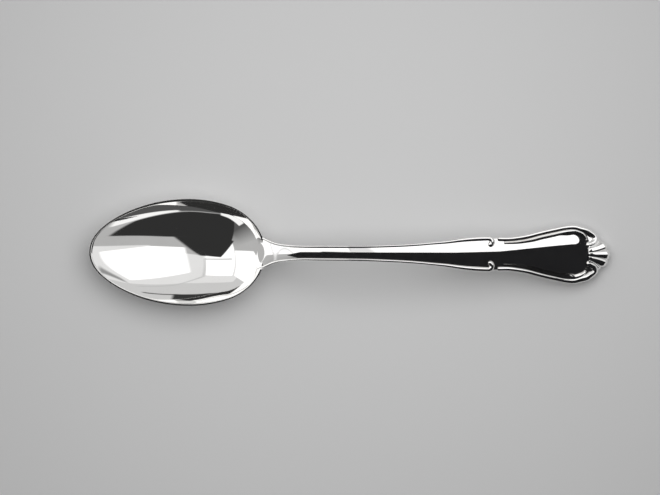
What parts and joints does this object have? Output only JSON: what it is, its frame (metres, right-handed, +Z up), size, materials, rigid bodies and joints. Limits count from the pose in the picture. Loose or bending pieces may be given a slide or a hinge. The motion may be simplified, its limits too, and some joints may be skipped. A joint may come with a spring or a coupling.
{
  "type": "teaspoon",
  "caption": "Polished teaspoon with an egg-shaped bowl, an arched stem, and a fiddle-shaped handle bordered by threads, scrolls and a shell at its end.",
  "frame": {"origin": "middle of the spoon's length and width, on the table it lies on", "axes": "+X from the bowl towards the end of the handle, +Y to the left of that direction, +Z up out of the bowl's mouth"},
  "size_m": [0.14, 0.0288, 0.0152],
  "materials": {
    "polished_metal": "mirror polish with fine wear scratches"
  },
  "bodies": {
    "root": {"bowl": "polished_metal", "handle": "polished_metal", "stem_scroll_left": "polished_metal", "stem_scroll_right": "polished_metal", "tip_scroll_left": "polished_metal", "tip_scroll_right": "polished_metal", "tip_thread_left": "polished_metal", "tip_thread_right": "polished_metal", "shell_tip": "polished_metal"}
  },
  "joints": []
}
